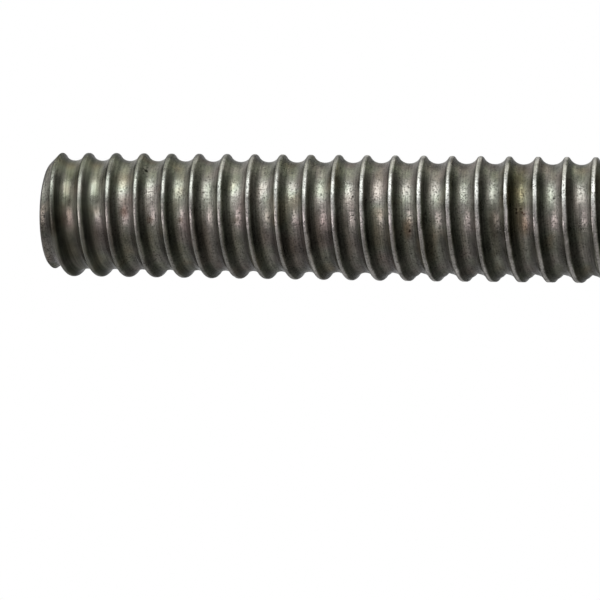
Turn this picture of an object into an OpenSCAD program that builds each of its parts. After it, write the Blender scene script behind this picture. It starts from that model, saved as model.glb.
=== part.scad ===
// Coil-threaded rod: a steel bar with a coarse, round-rooted thread rolled along its whole
// length, sawn to length and bevelled at both ends. It stands on its lower end, on the Z axis.

/* [Rod] */
// Overall length between the two sawn ends
rod_length = 203.2; // [80:0.1:400]
// Outside diameter, over the crests of the thread
major_diameter = 31.75; // [20:0.05:50]
// Width and depth of the 45 degree bevel at each end, from the outside diameter inwards
end_bevel = 2.45; // [0.5:0.05:5]

/* [Thread] */
// Distance from crest to crest of the single-start, right-hand thread: 3.5 threads per inch
thread_pitch = 7.257; // [4.6:0.001:9]
// Depth of the thread, from crest to root
thread_depth = 2.15; // [1:0.05:2.8]
// Radius of the narrow, rounded crest
crest_radius = 0.85; // [0.4:0.05:1.6]
// Angle at which the crest runs out at the upper end, anticlockwise from +X, seen from above
run_out_angle = 99; // [0:1:359]

/* [Hidden] */
// Flat facets across one crest and one root of the section, and triangles in the whole thread
crest_steps = 4;
root_steps = 4;
thread_triangles = 12000;

major_r = major_diameter / 2;
end_r = major_r - end_bevel;

// Crest and root are arcs that meet on a common tangent halfway down the flank. This fixes
// the sum of their radii, and the angle that each arc sweeps to either side of its middle.
half_pitch = thread_pitch / 2;
radius_sum = (pow(half_pitch, 2) + pow(thread_depth, 2)) / (2 * thread_depth);
root_radius = radius_sum - crest_radius;
sweep = asin(half_pitch / radius_sum);

// One pitch of the section as [radius, height]: up over the crest, then through the root as
// far as the last point before the next crest arc
crest_arc = [
    for (i = [0 : crest_steps])
        let (a = sweep * (2 * i / crest_steps - 1))
            [major_r - crest_radius * (1 - cos(a)), crest_radius * sin(a)]
];
root_arc = [
    for (i = [1 : root_steps - 1])
        let (a = sweep * (1 - 2 * i / root_steps))
            [major_r - thread_depth + root_radius * (1 - cos(a)), half_pitch - root_radius * sin(a)]
];
section = concat(crest_arc, root_arc);
section_size = len(section);

// Whole turns, counted upwards from the one that runs out at the upper end, so that the
// thread's rough ends lie wholly past the two sawn ends
last_turn = ceil(run_out_angle / 360 + 0.5);
first_turn = floor((run_out_angle / 360) - (rod_length / thread_pitch) - 1);
turns = last_turn - first_turn;
// Columns of points round the bar, a multiple of four so that the widest points lie on X and Y
columns = 4 * floor(thread_triangles / (8 * section_size * turns));

// Point of the thread's surface. A row follows the helix, and a column keeps one angle.
function thread_point(row, column) =
    let (
        angle = 360 * column / columns,
        turn = first_turn + floor(row / section_size),
        corner = section[row % section_size],
        lift = thread_pitch * (turn + (angle - run_out_angle) / 360)
    )
        [corner[0] * cos(angle), corner[0] * sin(angle), rod_length + lift + corner[1]];

// Index of a point, where the column past the last is the first one again, one turn further on
function point_index(row, column) =
    column < columns
        ? row * columns + column
        : (row + section_size) * columns + column - columns;

// Loop of points round an end of the thread: once round its row, then back down the section
function end_loop(row) = concat(
    [for (column = [0 : columns]) point_index(row, column)],
    [for (step = [1 : section_size - 1]) point_index(row + section_size - step, 0)]
);

// Threaded bar with a rough end at each side, closed by a fan from a point on the axis
module threaded_bar() {
    last_row = turns * section_size;
    surface = [
        for (row = [0 : last_row + section_size])
            for (column = [0 : columns - 1])
                thread_point(row, column)
    ];
    centres = [
        for (row = [0, last_row])
            [0, 0, thread_point(row, 0)[2] + half_pitch]
    ];
    skin = [
        for (row = [0 : last_row - 1])
            for (column = [0 : columns - 1])
                let (
                    low = point_index(row, column),
                    low_next = point_index(row, column + 1),
                    high = point_index(row + 1, column),
                    high_next = point_index(row + 1, column + 1)
                )
                    each [[low, high_next, low_next], [low, high, high_next]]
    ];
    low_loop = end_loop(0);
    high_loop = end_loop(last_row);
    loop_size = len(low_loop);
    low_fan = [
        for (i = [0 : loop_size - 1])
            [len(surface), low_loop[i], low_loop[(i + 1) % loop_size]]
    ];
    high_fan = [
        for (i = [0 : loop_size - 1])
            [len(surface) + 1, high_loop[(i + 1) % loop_size], high_loop[i]]
    ];
    polyhedron(
        points = concat(surface, centres),
        faces = concat(skin, low_fan, high_fan)
    );
}

// Plain bar with sawn, bevelled ends. Each bevel's cone is carried on outwards past the
// crests, so that the bar's wall stands clear of them.
module bevelled_bar() {
    wall_r = major_r + end_bevel;
    cone_height = wall_r - end_r;
    rotate_extrude($fn = 96)
        polygon([
            [0, 0],
            [end_r, 0],
            [wall_r, cone_height],
            [wall_r, rod_length - cone_height],
            [end_r, rod_length],
            [0, rod_length]
        ]);
}

module rod() {
    color("#5f5b52")
        intersection() {
            threaded_bar();
            bevelled_bar();
        }
}

rod();
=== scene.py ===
import math
import random

import bpy
from mathutils import Matrix, Vector, noise


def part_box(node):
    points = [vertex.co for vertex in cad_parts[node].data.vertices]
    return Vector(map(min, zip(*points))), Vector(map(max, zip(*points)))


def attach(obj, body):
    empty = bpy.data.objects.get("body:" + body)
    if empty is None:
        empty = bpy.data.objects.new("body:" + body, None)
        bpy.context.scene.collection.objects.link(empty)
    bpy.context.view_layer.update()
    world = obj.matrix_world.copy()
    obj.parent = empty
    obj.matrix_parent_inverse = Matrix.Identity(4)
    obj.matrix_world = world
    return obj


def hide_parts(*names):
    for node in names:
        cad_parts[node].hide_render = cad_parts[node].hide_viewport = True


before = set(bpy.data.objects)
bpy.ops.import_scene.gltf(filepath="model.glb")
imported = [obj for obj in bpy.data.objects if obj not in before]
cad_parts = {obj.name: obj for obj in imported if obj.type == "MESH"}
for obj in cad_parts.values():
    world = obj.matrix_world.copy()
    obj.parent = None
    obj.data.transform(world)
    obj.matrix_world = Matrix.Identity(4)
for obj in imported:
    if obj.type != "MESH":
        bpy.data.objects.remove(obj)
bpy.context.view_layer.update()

scene = bpy.context.scene
scene.view_settings.view_transform = "Standard"


# ---- Threaded rod ----------------------------------------------------------------------
# One bar of plain carbon steel with a coarse coil thread: a narrow round crest and a wide
# round root. Dies roll the thread in cold and squeeze the metal up into the crest. The bar
# is sawn to length, and each end is ground back at 45 degrees.
MM = 0.001
rod_low, rod_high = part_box("rod")
rod_length = rod_high.z - rod_low.z
crest_r = rod_high.x
pitch = 7.257 * MM
thread_depth = 2.15 * MM
crest_radius = 0.85 * MM
end_bevel = 2.45 * MM
run_out = math.radians(99)

# the crest and root arcs meet on a common tangent
half_pitch = pitch / 2
radius_sum = (half_pitch**2 + thread_depth**2) / (2 * thread_depth)
root_radius = radius_sum - crest_radius
arc_half = math.asin(half_pitch / radius_sum)


def thread_section(crest_steps, root_steps):
    """One pitch of the thread's section, as pairs of radius and height."""
    points = []
    for i in range(crest_steps + 1):
        a = arc_half * (2 * i / crest_steps - 1)
        points.append((crest_r - crest_radius * (1 - math.cos(a)), crest_radius * math.sin(a)))
    for i in range(1, root_steps):
        a = arc_half * (1 - 2 * i / root_steps)
        radius = crest_r - thread_depth + root_radius * (1 - math.cos(a))
        points.append((radius, half_pitch - root_radius * math.sin(a)))
    return points


def thread_radius(angle, height):
    """The radius of the thread at an angle, with +X at 0, and a height."""
    turn = (height - rod_high.z) / pitch - (angle - run_out) / math.tau
    from_crest = abs(turn - round(turn)) * pitch
    if from_crest < crest_radius * math.sin(arc_half):
        return crest_r - crest_radius + math.sqrt(crest_radius**2 - from_crest**2)
    from_root = half_pitch - from_crest
    return crest_r - thread_depth + root_radius - math.sqrt(root_radius**2 - from_root**2)


def new_mesh_object(name, points, faces):
    mesh = bpy.data.meshes.new(name)
    mesh.from_pydata(points, [], faces)
    mesh.update()
    obj = bpy.data.objects.new(name, mesh)
    scene.collection.objects.link(obj)
    return obj


def surface_spot(below, degrees):
    """The point of the thread that is so many millimetres below the upper end, and so many
    degrees round from +X towards the front."""
    angle = -math.radians(degrees)
    height = rod_high.z - below * MM
    r = thread_radius(angle, height)
    return Vector((r * math.cos(angle), r * math.sin(angle), height))


# Tinted patches in the grooves, the first six darkening those next to the upper end and the
# rest stains of old oil: millimetres below the upper end, degrees round from +X towards
# the front, radius in millimetres, how many times longer than high, and colour.
groove_tints = [
    (0.6, 97, 5.0, 1.5, "#bec3ca"),
    (7.5, 96, 4.0, 2, "#fbeef8"),
    (8.0, 55, 11.0, 4, "#d6d8c8"),
    (8.3, 132, 8.0, 3, "#c9c7c4"),
    (15.2, 66, 4.5, 3, "#cfcfc8"),
    (22.4, 80, 4.5, 3, "#eae8e4"),
    (94.8, 103, 3.0, 2, "#dccabb"),
    (116.5, 95, 8.0, 4, "#b0adab"),
    (122.0, 68, 15.0, 4, "#cac2ad"),
    (124.3, 98, 3.0, 2, "#f2e6d8"),
]

# Marks: place, radius and shape as above, how deep it goes, in millimetres, and the colour
# of its dirt. They are a dull patch on the first crest, pits, rusty dents, and a lump of
# scale with pits round it.
marks = [
    (3.7, 95, 7.0, 4, 0.00, "#a8a6a3"),
    (26.6, 39, 0.6, 1, 0.12, "#3f3e38"),
    (22.1, 88, 1.4, 1, 0.04, "#d9cac4"),
    (28.8, 96, 1.1, 1, 0.04, "#d6cac3"),
    (36.8, 96, 0.9, 1, 0.05, "#d2cbc4"),
    (51.1, 95, 1.0, 1, 0.07, "#e4e0da"),
    (80.8, 69, 0.35, 1, 0.08, "#55534c"),
    (95.4, 105, 0.4, 1, 0.12, "#7a6657"),
    (122.8, 82.6, 0.4, 1, -0.15, "#f2eee4"),
    (122.2, 81, 0.35, 1, 0.08, "#6f6858"),
    (123.3, 80, 0.35, 1, 0.08, "#7e7561"),
    (122.2, 84.5, 0.35, 1, 0.08, "#6f6858"),
    (123.6, 84, 0.35, 1, 0.08, "#7a6050"),
    (124.1, 85.5, 0.35, 1, 0.06, "#8a7060"),
    (131.3, 69, 0.35, 1, 0.08, "#55534c"),
]
dents = []
for below, degrees, radius, flat, depth, dirt in marks:
    dents.append((surface_spot(below, degrees), depth * MM, radius * MM))

# Knocks on the crest, at places and of sizes that are the luck of handling.
knocks = 46
knock_depths = (0.05 * MM, 0.2 * MM)
knock_radii = (0.5 * MM, 1.3 * MM)
end_turns_left_out = 0.4
rng = random.Random(7)
for _ in range(knocks):
    turns_down = rng.uniform(end_turns_left_out, rod_length / pitch - end_turns_left_out)
    angle = run_out - math.tau * turns_down
    across_bar = (crest_r * math.cos(angle), crest_r * math.sin(angle))
    spot = Vector((*across_bar, rod_high.z - pitch * turns_down))
    dents.append((spot, rng.uniform(*knock_depths), rng.uniform(*knock_radii)))

# The thread's run-out on the -X side of the upper end has been ground deeper by hand, in
# passes that overlap, 2 mm below the end.
ground_depth = 0.53 * MM
wheel_reach = 1.8 * MM
for degrees in range(160, 201, 10):
    dents.append((surface_spot(2.0, degrees), ground_depth, wheel_reach))

# How the rolled surface departs from a perfect thread. Everywhere, the crest is flat where
# the dies didn't fill it, by an amount that varies in long and in short waves, and the root
# is a little shallow and rippled.
long_wave = 9 * MM
short_wave = 2.6 * MM
crest_loss = 0.04 * MM
crest_loss_long = 0.04 * MM
crest_loss_short = 0.03 * MM
root_filled = 0.12 * MM
root_ripple = 0.012 * MM
# Far from the upper end the dies were starved, mostly on the -X side: the crest loses more,
# and the flanks are fuller. Heights are counted down from the upper end.
starved_from = 84 * MM
starved_wholly = 144 * MM
starved_loss = 0.16 * MM
starved_loss_to_side = 0.12 * MM
flank_filled = 0.12 * MM
# There the dies didn't quite meet either: metal is left under the crest, and a cut below it.
# Their places and half widths are in turns below the crest.
missed_wholly = 92 * MM
missed_by = 0.28 * MM
metal_left = (0.25, 0.07)
cut_below = (0.43, 0.08)


def share(value, none, whole):
    """How far a value has come between two others, from 0 to 1."""
    return min(max((value - none) / (whole - none), 0), 1)


def bell(value, middle, half_width):
    return math.exp(-(((value - middle) / half_width) ** 2))


def worn(radius, angle, height):
    """The radius of the real surface, where a perfect thread has the given one."""
    spot = Vector((radius * math.cos(angle), radius * math.sin(angle), height))
    slow = noise.noise(spot / long_wave)
    quick = noise.noise(spot / short_wave + Vector((7, 3, 1)))
    below_end = rod_high.z - height
    below_crest = (below_end / pitch + (angle - run_out) / math.tau) % 1
    in_groove = (crest_r - radius) / thread_depth
    far_side = max(-math.cos(angle), 0)
    starved = share(below_end, starved_from, starved_wholly)
    missed = share(below_end, starved_from, missed_wholly) * far_side

    real = radius + root_filled * in_groove**2
    real -= root_ripple * (slow + quick) * in_groove
    real += flank_filled * starved * far_side * (1 - in_groove)
    real += missed_by * missed * (bell(below_crest, *metal_left) - bell(below_crest, *cut_below))

    flat = crest_loss + crest_loss_long * slow + crest_loss_short * quick
    flat += starved * (starved_loss - starved_loss_to_side * math.cos(angle))
    real = min(real, crest_r - max(flat, 0))

    # a dent has died away three times its reach from its centre
    for centre, depth, reach in dents:
        if abs(height - centre.z) < 3 * reach:
            real -= depth * math.exp(-((spot - centre).length_squared / reach**2))
    return real


def rolled_bar(columns=144, crest_steps=8, root_steps=12):
    """The threaded bar, longer than the rod at both ends, as a closed mesh. Its rows of
    points follow the helix, and its columns run straight up."""
    section = thread_section(crest_steps, root_steps)
    size = len(section)
    last_turn = math.ceil(run_out / math.tau + 0.5)
    first_turn = math.floor(run_out / math.tau - rod_length / pitch - 1)
    last_row = (last_turn - first_turn) * size
    points = []
    for row in range(last_row + size + 1):
        radius, rise = section[row % size]
        turn = first_turn + row // size
        for column in range(columns):
            angle = math.tau * column / columns
            height = rod_high.z + pitch * (turn + (angle - run_out) / math.tau) + rise
            real = worn(radius, angle, height)
            points.append((real * math.cos(angle), real * math.sin(angle), height))

    def index(row, column):
        if column < columns:
            return row * columns + column
        return (row + size) * columns + column - columns

    faces = []
    for row in range(last_row):
        for column in range(columns):
            lower = (index(row, column), index(row, column + 1))
            upper = (index(row + 1, column + 1), index(row + 1, column))
            faces.append(lower + upper)
    for row, turn_up in ((0, False), (last_row, True)):
        loop = [index(row, column) for column in range(columns + 1)]
        loop += [index(row + size - step, 0) for step in range(1, size)]
        points.append((0, 0, points[row * columns][2] + half_pitch))
        centre = len(points) - 1
        for a, b in zip(loop, loop[1:] + loop[:1]):
            faces.append((centre, a, b) if turn_up else (centre, b, a))
    return new_mesh_object("rod_body", points, faces)


# The bevels are ground by hand, so they wander a little, in waves a third of a radius long.
bevel_wander = 0.07 * MM
waves_per_radius = 3


def sawn_blank(sides=240):
    """The space between the two sawn ends, with the 45 degree bevels round them."""
    end_r = crest_r - end_bevel
    wall_r = crest_r + end_bevel
    rise = wall_r - end_r
    rings = [
        (end_r, rod_low.z),
        (wall_r, rod_low.z + rise),
        (wall_r, rod_high.z - rise),
        (end_r, rod_high.z),
    ]
    points = []
    for r, z in rings:
        for s in range(sides):
            a = math.tau * s / sides
            around = Vector((math.cos(a), math.sin(a), z / rod_length))
            ground_r = r - bevel_wander * noise.noise(waves_per_radius * around)
            points.append((ground_r * math.cos(a), ground_r * math.sin(a), z))
    faces = [tuple(reversed(range(sides))), tuple(range(3 * sides, 4 * sides))]
    for base in (0, sides, 2 * sides):
        for s in range(sides):
            t = (s + 1) % sides
            faces.append((base + s, base + t, base + sides + t, base + sides + s))
    return new_mesh_object("blank", points, faces)


def hex_colour(text):
    """An sRGB hex colour as linear red, green, blue and alpha."""
    shares = [int(text[i : i + 2], 16) / 255 for i in (1, 3, 5)]
    return [s / 12.92 if s <= 0.04045 else ((s + 0.055) / 1.055) ** 2.4 for s in shares] + [1]


def node(tree, kind, inputs=(), ramp=None, **settings):
    """Add a shader node. Each input is a plain value or the socket that feeds it."""
    new = tree.nodes.new("ShaderNode" + kind)
    for name, value in settings.items():
        setattr(new, name, value)
    for name, value in dict(inputs).items():
        if isinstance(value, bpy.types.NodeSocket):
            tree.links.new(value, new.inputs[name])
        else:
            new.inputs[name].default_value = value
    if ramp:
        stops = new.color_ramp.elements
        while len(stops) < len(ramp):
            stops.new(0)
        for stop, (place, colour) in zip(stops, ramp):
            stop.position = place
            stop.color = hex_colour(colour)
    return new


def rolled_steel_finish():
    """Cold-rolled plain steel with its thin dark oil film: a satin grey-olive root, a flank
    that faces down painted near black as shade, a browner one that dust has settled on,
    and a crest that handling has rubbed bright, with a painted highlight towards +X and -X."""
    material = bpy.data.materials.new("cold_rolled_oiled_steel")
    material.use_nodes = True
    tree = material.node_tree
    principled = tree.nodes["Principled BSDF"]

    # place in millimetres, and place across the thread: 0.5 is the crest, 0 and 1 are the
    # middle of the root, and it grows upwards
    place = node(tree, "TexCoord").outputs["Object"]
    place = node(tree, "VectorMath", {0: place, "Scale": 1 / MM}, operation="SCALE").outputs[0]
    axis = node(tree, "SeparateXYZ", {0: place}).outputs
    angle = node(tree, "Math", {0: axis["Y"], 1: axis["X"]}, operation="ARCTAN2").outputs[0]
    turns = node(tree, "Math", {0: angle, 1: math.tau}, operation="DIVIDE").outputs[0]
    start = 0.5 + run_out / math.tau - rod_high.z / pitch
    climb = {0: axis["Z"], 1: MM / pitch, 2: start}
    climb = node(tree, "Math", climb, operation="MULTIPLY_ADD").outputs[0]
    across = node(tree, "Math", {0: climb, 1: turns}, operation="SUBTRACT").outputs[0]
    across = node(tree, "Math", {0: across}, operation="FRACT").outputs[0]

    # die marks that follow the helix. The place across becomes a circle in two of the
    # noise's four directions, so that it has no seam.
    mark_width = 0.35
    mark_length = 15
    circle = pitch / MM / mark_width / math.tau
    wheel = node(tree, "Math", {0: across, 1: math.tau}, operation="MULTIPLY").outputs[0]
    wheel_x = node(tree, "Math", {0: wheel}, operation="COSINE").outputs[0]
    wheel_y = node(tree, "Math", {0: wheel}, operation="SINE").outputs[0]
    along = {0: place, "Scale": 1 / mark_length}
    along = node(tree, "VectorMath", along, operation="SCALE").outputs[0]
    along = node(tree, "SeparateXYZ", {0: along}).outputs
    mark_z = {0: wheel_x, 1: circle, 2: along["Z"]}
    mark_z = node(tree, "Math", mark_z, operation="MULTIPLY_ADD").outputs[0]
    mark_w = node(tree, "Math", {0: wheel_y, 1: circle}, operation="MULTIPLY").outputs[0]
    mark_place = {"X": along["X"], "Y": along["Y"], "Z": mark_z}
    mark_place = node(tree, "CombineXYZ", mark_place).outputs[0]
    lines = {"Vector": mark_place, "W": mark_w, "Scale": 1, "Detail": 2, "Roughness": 0.6}
    die_marks = node(tree, "TexNoise", lines, noise_dimensions="4D").outputs["Fac"]

    # blotches of oil and dust, tints of the oil film, an orange peel and fine grit, by size
    blotch_size = 5
    tint_size = 11
    peel_size = 1.1
    grit_size = 0.42
    blotch = {"Vector": place, "Scale": 1 / blotch_size, "Detail": 3}
    blotch = node(tree, "TexNoise", blotch).outputs["Fac"]
    tint = {"Vector": place, "Scale": 1 / tint_size, "Detail": 2}
    tint = node(tree, "TexNoise", tint).outputs["Fac"]
    peel = {"Vector": place, "Scale": 1 / peel_size, "Detail": 2}
    peel = node(tree, "TexNoise", peel).outputs["Fac"]
    grit = {"Vector": place, "Scale": 1 / grit_size, "Detail": 2}
    grit = node(tree, "TexNoise", grit).outputs["Fac"]
    noise_span = {"From Min": 0.3, "From Max": 0.7}

    # peel and grit are faint in the first two grooves, but heavy at the very end, which the
    # grinding wheel has skimmed
    top = rod_high.z / MM
    after_two = {"Value": axis["Z"], "From Min": top - 13, "From Max": top - 20, "To Min": 0.4}
    after_two = node(tree, "MapRange", after_two).outputs[0]
    skimmed = {"Value": axis["Z"], "From Min": top - 4.5, "From Max": top - 2.5}
    skimmed = node(tree, "MapRange", skimmed).outputs[0]
    heavy = node(tree, "Math", {0: after_two, 1: skimmed}, operation="ADD").outputs[0]
    peel = node(tree, "Math", {0: peel, 1: 0.5}, operation="SUBTRACT").outputs[0]
    peel = node(tree, "Math", {0: peel, 1: heavy, 2: 0.5}, operation="MULTIPLY_ADD").outputs[0]
    grit = node(tree, "Math", {0: grit, 1: 0.5}, operation="SUBTRACT").outputs[0]
    grit = node(tree, "Math", {0: grit, 1: heavy, 2: 0.5}, operation="MULTIPLY_ADD").outputs[0]
    # the lowest of the grit is pits
    pits = {"Value": grit, "From Min": 0.28, "From Max": 0.44, "To Min": 1, "To Max": 0}
    pits = node(tree, "MapRange", pits).outputs[0]

    # the colour zones across the thread, with edges that wander by the blotches
    wander = {"Value": blotch, **noise_span, "To Min": -0.02, "To Max": 0.02}
    wander = node(tree, "MapRange", wander).outputs[0]
    zone = node(tree, "Math", {0: across, 1: wander}, operation="ADD").outputs[0]
    # the dark stops from 0.21 to 0.40 paint the flank that faces down near black: painted shade
    zone_colours = [
        (0.00, "#615f5b"),
        (0.08, "#64625d"),
        (0.165, "#5d5b56"),
        (0.21, "#4a4a44"),
        (0.26, "#3b3b36"),
        (0.34, "#3b3b36"),
        (0.40, "#42423c"),
        (0.44, "#50504b"),
        (0.54, "#52524d"),
        (0.585, "#575550"),
        (0.66, "#5f5c57"),
        (0.75, "#54514d"),
        (0.90, "#595753"),
        (1.00, "#615f5b"),
    ]
    steel = node(tree, "ValToRGB", {"Fac": zone}, ramp=zone_colours).outputs[0]

    # the oil film is a shade pinker or greener from place to place, and golden where thick
    film_colours = [(0.34, "#fff4f3"), (0.46, "#fbfaf8"), (0.56, "#f5fbf1"), (0.70, "#fff7e4")]
    film = node(tree, "ValToRGB", {"Fac": tint}, ramp=film_colours).outputs[0]
    steel = node(tree, "VectorMath", {0: steel, 1: film}, operation="MULTIPLY").outputs[0]

    def patch(below, degrees, radius, flat):
        """How far a round patch covers the steel. Its rim is ragged, as the blotches are
        where it is large, and as the grit is where it is small."""
        nothing, whole = 1.7 * radius, 0.9 * radius
        squash = Vector((1, 1, flat))
        centre = surface_spot(below, degrees) / MM * squash
        far = node(tree, "VectorMath", {0: place, 1: squash}, operation="MULTIPLY").outputs[0]
        far = node(tree, "VectorMath", {0: far, 1: centre}, operation="DISTANCE").outputs["Value"]
        rim = {0: blotch if radius >= 2 else grit, 1: radius, 2: far}
        rim = node(tree, "Math", rim, operation="MULTIPLY_ADD").outputs[0]
        fade = {"Value": rim, "From Min": nothing, "From Max": whole}
        return node(tree, "MapRange", fade).outputs[0]

    for below, degrees, radius, flat, colour in groove_tints:
        stain = {"Factor": patch(below, degrees, radius, flat), "A": steel, "B": hex_colour(colour)}
        stain = node(tree, "Mix", stain, data_type="RGBA", blend_type="MULTIPLY")
        steel = stain.outputs["Result"]

    # painted shade: both flanks are darkened towards the -X side, by up to a half, but the
    # flank that faces down hardly at all at its outermost -X edge.
    facing_down = [(0.11, "#000000"), (0.20, "#ffffff"), (0.38, "#ffffff"), (0.43, "#000000")]
    facing_down = node(tree, "ValToRGB", {"Fac": zone}, ramp=facing_down).outputs[0]
    facing_up = [(0.60, "#000000"), (0.68, "#ffffff"), (0.80, "#ffffff"), (0.96, "#000000")]
    facing_up = node(tree, "ValToRGB", {"Fac": zone}, ramp=facing_up).outputs[0]
    down_flank_shade = {"Value": axis["X"], "From Min": -14, "From Max": -7, "To Min": 0.1, "To Max": 1}
    down_flank_shade = node(tree, "MapRange", down_flank_shade).outputs[0]
    flank_shade = {0: facing_down, 1: down_flank_shade, 2: facing_up}
    flank_shade = node(tree, "Math", flank_shade, operation="MULTIPLY_ADD").outputs[0]
    shade_towards_minus_x = {"Value": axis["X"], "From Min": 4, "From Max": -8, "To Min": 0, "To Max": 0.5}
    shade_towards_minus_x = node(tree, "MapRange", shade_towards_minus_x, interpolation_type="SMOOTHSTEP").outputs[0]
    flank_shade = node(tree, "Math", {0: flank_shade, 1: shade_towards_minus_x}, operation="MULTIPLY").outputs[0]
    left = node(tree, "Math", {0: 1, 1: flank_shade}, operation="SUBTRACT").outputs[0]
    steel = node(tree, "VectorMath", {0: steel, "Scale": left}, operation="SCALE").outputs[0]

    # painted shade: the whole surface is darkened towards -X, most of all at the -X edge
    shade_side = {"Value": axis["X"], "From Min": -13.5, "From Max": 0.5}
    shade_side = node(tree, "MapRange", shade_side).outputs[0]
    painted_shade = [(0, "#dadada"), (0.25, "#efefef"), (0.60, "#ececec"), (1, "#ffffff")]
    painted_shade = node(tree, "ValToRGB", {"Fac": shade_side}, ramp=painted_shade).outputs[0]
    steel = node(tree, "VectorMath", {0: steel, 1: painted_shade}, operation="MULTIPLY").outputs[0]

    # handling has rubbed the crest bright. The bright crest fades out towards the upper end,
    # and is painted brighter towards +X and -X and darker at front and back: a painted highlight.
    rubbed_zone = [(0.425, "#000000"), (0.475, "#ffffff"), (0.540, "#ffffff"), (0.585, "#000000")]
    rubbed = node(tree, "ValToRGB", {"Fac": zone}, ramp=rubbed_zone).outputs[0]
    reach = {"Value": axis["Z"], "From Min": top, "From Max": top - 90, "To Min": 0.1, "To Max": 1}
    reach = node(tree, "MapRange", reach).outputs[0]
    rubbed = node(tree, "Math", {0: rubbed, 1: reach}, operation="MULTIPLY").outputs[0]
    # painted highlight: the crest's colour is scaled from 0.75 at front and back to 1.3 at +X and
    # -X
    sides = node(tree, "Math", {0: axis["X"], 1: axis["X"]}, operation="MULTIPLY").outputs[0]
    sides = {"Value": sides, "From Min": 0, "From Max": 250, "To Min": 0.75, "To Max": 1.3}
    sides = node(tree, "MapRange", sides).outputs[0]
    bare_and_highlight = {0: hex_colour("#83817e")[:3], "Scale": sides}
    bare_and_highlight = node(tree, "VectorMath", bare_and_highlight, operation="SCALE").outputs[0]
    bright = {"Factor": rubbed, "A": steel, "B": bare_and_highlight}
    steel = node(tree, "Mix", bright, data_type="RGBA").outputs["Result"]

    # the dies and the dirt shade it in fine lines, blotches and specks
    shade = {"Value": die_marks, **noise_span, "To Min": 0.68, "To Max": 1.32}
    shade = node(tree, "MapRange", shade).outputs[0]
    steel = node(tree, "VectorMath", {0: steel, "Scale": shade}, operation="SCALE").outputs[0]
    stale = {"Value": blotch, **noise_span, "To Min": 0.75, "To Max": 1.25}
    stale = node(tree, "MapRange", stale).outputs[0]
    steel = node(tree, "VectorMath", {0: steel, "Scale": stale}, operation="SCALE").outputs[0]
    specks = {"Value": grit, **noise_span, "To Min": 0.78, "To Max": 1.22}
    specks = node(tree, "MapRange", specks).outputs[0]
    steel = node(tree, "VectorMath", {0: steel, "Scale": specks}, operation="SCALE").outputs[0]
    clean = node(tree, "Math", {0: pits, 1: -0.5, 2: 1}, operation="MULTIPLY_ADD").outputs[0]
    steel = node(tree, "VectorMath", {0: steel, "Scale": clean}, operation="SCALE").outputs[0]

    # the dust on the flank that faces up dulls the metal
    metal_shades = [(0.57, "#ffffff"), (0.66, "#d3d3d3"), (0.80, "#d3d3d3"), (0.96, "#ffffff")]
    metal = node(tree, "ValToRGB", {"Fac": zone}, ramp=metal_shades).outputs[0]

    # the marks dip or stand up, and their dirt is rough. This fine relief adds a third of a
    # mark's depth to the dent in the mesh.
    relief = 0
    soiled = 0
    for below, degrees, radius, flat, depth, dirt in marks:
        fade = patch(below, degrees, radius, flat)
        stain = {"Factor": fade, "A": steel, "B": hex_colour(dirt)}
        stain = node(tree, "Mix", stain, data_type="RGBA", blend_type="MULTIPLY")
        steel = stain.outputs["Result"]
        soiled = node(tree, "Math", {0: fade, 1: soiled}, operation="MAXIMUM").outputs[0]
        dip = {0: fade, 1: -depth / 3, 2: relief}
        relief = node(tree, "Math", dip, operation="MULTIPLY_ADD").outputs[0]

    # the rest of the relief, in millimetres
    relief_parts = ((0.08, peel), (0.03, die_marks), (0.02, grit), (-0.03, pits))
    for height, part in relief_parts:
        relief = {0: part, 1: height, 2: relief}
        relief = node(tree, "Math", relief, operation="MULTIPLY_ADD").outputs[0]
    bump = node(tree, "Bump", {"Strength": 1, "Distance": MM, "Height": relief}).outputs[0]

    # the oil film is smooth, and rougher where it is thin or gone
    rough = {"Value": blotch, **noise_span, "To Min": 0.23, "To Max": 0.41}
    rough = node(tree, "MapRange", rough).outputs[0]
    for more, part in ((0.2, pits), (0.12, soiled), (0.06, rubbed)):
        rough = {0: part, 1: more, 2: rough}
        rough = node(tree, "Math", rough, operation="MULTIPLY_ADD").outputs[0]

    tree.links.new(steel, principled.inputs["Base Color"])
    tree.links.new(rough, principled.inputs["Roughness"])
    tree.links.new(bump, principled.inputs["Normal"])
    tree.links.new(metal, principled.inputs["Metallic"])
    principled.inputs["Specular Tint"].default_value = (0.5, 0.5, 0.5, 1)
    return material


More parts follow.
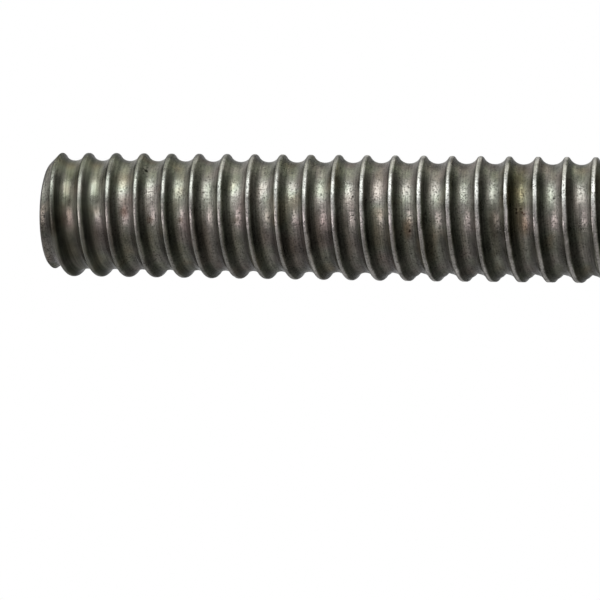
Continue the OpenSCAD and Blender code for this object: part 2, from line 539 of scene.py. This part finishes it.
def sawn_steel_finish():
    """The same steel where the saw and then the grinding wheel bared it: cooler than the
    rolled skin, with straight saw marks across the ends and fine rings round the bevels."""
    material = bpy.data.materials.new("sawn_and_ground_steel")
    material.use_nodes = True
    tree = material.node_tree
    principled = tree.nodes["Principled BSDF"]
    place = node(tree, "TexCoord").outputs["Object"]
    place = node(tree, "VectorMath", {0: place, "Scale": 1 / MM}, operation="SCALE").outputs[0]
    axis = node(tree, "SeparateXYZ", {0: place}).outputs
    radius = node(tree, "CombineXYZ", {"X": axis["X"], "Y": axis["Y"]}).outputs[0]
    radius = node(tree, "VectorMath", {0: radius}, operation="LENGTH").outputs["Value"]

    # straight saw marks along X, and grinding rings round the bevels, by their length and
    # how far apart they are
    saw_length = 25
    saw_gap = 0.7
    ring_length = 8.33
    ring_gap = 0.25
    saw = {0: place, 1: (1 / saw_length, 1 / saw_gap, 0)}
    saw = node(tree, "VectorMath", saw, operation="MULTIPLY").outputs[0]
    saw = node(tree, "TexNoise", {"Vector": saw, "Scale": 1, "Detail": 2}).outputs["Fac"]
    ring = node(tree, "Math", {0: radius, 1: 1 / ring_gap}, operation="MULTIPLY").outputs[0]
    ring = node(tree, "CombineXYZ", {"Z": ring}).outputs[0]
    ring = {0: place, 1: (1 / ring_length, 1 / ring_length, 0), 2: ring}
    ring = node(tree, "VectorMath", ring, operation="MULTIPLY_ADD").outputs[0]
    ring = node(tree, "TexNoise", {"Vector": ring, "Scale": 1, "Detail": 2}).outputs["Fac"]
    on_bevel = {0: radius, 1: (crest_r - end_bevel) / MM + 0.1}
    on_bevel = node(tree, "Math", on_bevel, operation="GREATER_THAN").outputs[0]
    tool_marks = {"Factor": on_bevel, "A": saw, "B": ring}
    tool_marks = node(tree, "Mix", tool_marks).outputs[0]

    # oil and dirt have come back on it in blotches, which darken it between the marks
    blotch_size = 4
    blotch = {"Vector": place, "Scale": 1 / blotch_size, "Detail": 4}
    blotch = node(tree, "TexNoise", blotch).outputs["Fac"]
    clean = node(tree, "Math", {0: blotch, 1: 0.35, 2: -0.12}, operation="MULTIPLY_ADD").outputs[0]
    clean = {0: tool_marks, 1: 0.9, 2: clean}
    clean = node(tree, "Math", clean, operation="MULTIPLY_ADD").outputs[0]
    colours = [(0.34, "#45433f"), (0.48, "#545250"), (0.60, "#5f5d5b"), (0.72, "#72706d")]
    steel = node(tree, "ValToRGB", {"Fac": clean}, ramp=colours).outputs[0]
    rough = {"Value": clean, "From Min": 0.3, "From Max": 0.7, "To Min": 0.5, "To Max": 0.34}
    rough = node(tree, "MapRange", rough).outputs[0]
    mark_height = 0.04
    relief = node(tree, "Math", {0: tool_marks, 1: mark_height}, operation="MULTIPLY").outputs[0]
    bump = node(tree, "Bump", {"Strength": 1, "Distance": MM, "Height": relief}).outputs[0]

    tree.links.new(steel, principled.inputs["Base Color"])
    tree.links.new(rough, principled.inputs["Roughness"])
    tree.links.new(bump, principled.inputs["Normal"])
    principled.inputs["Metallic"].default_value = 1
    principled.inputs["Specular Tint"].default_value = (0.5, 0.5, 0.5, 1)
    return material


# The bar is cut to the blank. Each face keeps the finish of the one that made it.
rod = rolled_bar()
blank = sawn_blank()
rod.data.materials.append(rolled_steel_finish())
blank.data.materials.append(sawn_steel_finish())
cut = rod.modifiers.new("cut", "BOOLEAN")
cut.operation = "INTERSECT"
cut.solver = "MANIFOLD"
cut.material_mode = "TRANSFER"
cut.object = blank
bpy.context.view_layer.update()
cut_rod = rod.evaluated_get(bpy.context.evaluated_depsgraph_get())
solid = bpy.data.meshes.new_from_object(cut_rod)
rod.modifiers.clear()
rod.data = solid
bpy.data.objects.remove(blank)
solid.polygons.foreach_set("use_smooth", [True] * len(solid.polygons))
sharp_edge = math.radians(28)
solid.set_sharp_from_angle(angle=sharp_edge)

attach(rod, "root")
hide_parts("rod")


# ---- Floor -----------------------------------------------------------------------------
# A round sheet of pale matt card under the rod, whose rim fades out into the room. It is
# see-through from below and under the rod's end, so that the lower end can be looked at.
floor_r = 220 * MM
floor_sides = 96
angles = [math.tau * side / floor_sides for side in range(floor_sides)]
rim = [(floor_r * math.cos(a), floor_r * math.sin(a), rod_low.z) for a in angles]
floor = new_mesh_object("floor", rim, [tuple(range(floor_sides))])
card = bpy.data.materials.new("matt_card")
card.use_nodes = True
tree = card.node_tree
matt = tree.nodes["Principled BSDF"]
matt.inputs["Base Color"].default_value = hex_colour("#9a9a98")
matt.inputs["Roughness"].default_value = 0.9
matt.inputs["Specular IOR Level"].default_value = 0.1
place = node(tree, "TexCoord").outputs["Object"]
far = node(tree, "VectorMath", {0: place}, operation="LENGTH").outputs["Value"]
fade = {"Value": far, "From Min": 0.35 * floor_r, "From Max": 0.97 * floor_r}
fade = node(tree, "MapRange", fade, interpolation_type="SMOOTHSTEP").outputs[0]
under_rod = {0: far, 1: crest_r - end_bevel}
under_rod = node(tree, "Math", under_rod, operation="LESS_THAN").outputs[0]
fade = node(tree, "Math", {0: fade, 1: under_rod}, operation="MAXIMUM").outputs[0]
from_below = node(tree, "NewGeometry").outputs["Backfacing"]
fade = node(tree, "Math", {0: fade, 1: from_below}, operation="MAXIMUM").outputs[0]
clear = node(tree, "BsdfTransparent").outputs[0]
faded_card = node(tree, "MixShader", {0: fade, 1: matt.outputs[0], 2: clear}).outputs[0]
tree.links.new(faded_card, tree.nodes["Material Output"].inputs["Surface"])
floor.data.materials.append(card)


# ---- Studio light ----------------------------------------------------------------------
# A white room that turns to a warm grey low down at the front left, with large soft boxes:
# a tall one at the right, one in front, and weaker ones above, behind and low down.
room = bpy.data.worlds.new("white_room")
scene.world = room
room.use_nodes = True
tree = room.node_tree
grey_side = Vector((-0.62, -0.62, -0.48)).normalized()
way = node(tree, "TexCoord").outputs["Generated"]
grey = node(tree, "VectorMath", {0: way, 1: grey_side}, operation="DOT_PRODUCT").outputs["Value"]
grey = {"Value": grey, "From Min": 0.36, "From Max": 0.86}
grey = node(tree, "MapRange", grey, interpolation_type="SMOOTHSTEP").outputs[0]
wall_colours = [(0, "#ffffff"), (1, "#cdc8c1")]
walls = node(tree, "ValToRGB", {"Fac": grey}, ramp=wall_colours).outputs[0]
tree.links.new(walls, tree.nodes["Background"].inputs["Color"])
tree.nodes["Background"].inputs["Strength"].default_value = 1

# the lamps face a point two thirds of the way up the rod
lit_height = rod_low.z + 0.65 * rod_length


def softbox(name, azimuth, climb, distance, width, height, radiance, colour="#ffffff"):
    """Area lamp that faces the rod; azimuth 0 is in front of it, and 90 is towards +X."""
    light = bpy.data.lights.new(name, "AREA")
    light.shape = "RECTANGLE"
    light.size = width
    light.size_y = height
    light.color = hex_colour(colour)[:3]
    light.energy = radiance * width * height * math.pi
    box = bpy.data.objects.new(name, light)
    scene.collection.objects.link(box)
    turn = math.radians(azimuth)
    rise = math.radians(climb)
    level = Vector((math.sin(turn), -math.cos(turn), 0))
    away = level * math.cos(rise) + Vector((0, 0, math.sin(rise)))
    box.location = Vector((0, 0, lit_height)) + away * distance
    box.rotation_mode = "QUATERNION"
    box.rotation_quaternion = away.to_track_quat("Z", "Y")


# angles in degrees, and distance, width and height in metres
softbox("key", 56, 17, 0.6, 0.37, 0.57, 7.6, "#f8ffff")
softbox("key_high", 60, 60, 1.0, 0.50, 0.40, 2.5, "#f8ffff")
softbox("side", 105, 20, 1.1, 0.80, 0.85, 1.35, "#f6fae0")
softbox("front", -3, 36, 1.0, 0.34, 0.60, 8.4, "#fff2f9")
softbox("front_high", -14, 58, 1.0, 0.34, 0.26, 4.0, "#fff2f9")
softbox("low_side", 60, -30, 1.1, 0.50, 0.45, 0.8, "#fdfdf2")
softbox("low_rear", 128, -22, 1.1, 0.70, 0.50, 2.8, "#fdfdf2")
softbox("rear_high", 215, 50, 1.1, 0.70, 0.60, 0.9)


# ---- Camera ----------------------------------------------------------------------------
# A long lens from a low stand: it looks up by 12 degrees at the upper part of the rod, and
# is turned on its side, so that the rod lies across the picture, and then by a degree more.
aim = Vector((-21.0 * MM, 0, rod_high.z - 65.0 * MM))
stand_off = 986.6 * MM
climb = math.radians(12.0)
lean = math.radians(0.938)
look = Vector((0, math.cos(climb), math.sin(climb)))
side = Vector((1, 0, 0))
lens = bpy.data.cameras.new("camera")
lens.lens = 233.7
lens.clip_start = 0.01
camera = bpy.data.objects.new("camera", lens)
scene.collection.objects.link(camera)
on_its_side = Matrix((look.cross(side), side, -look)).transposed().to_4x4()
leaning = Matrix.Rotation(lean, 4, "Z")
camera.matrix_world = Matrix.Translation(aim - look * stand_off) @ on_its_side @ leaning
scene.camera = camera
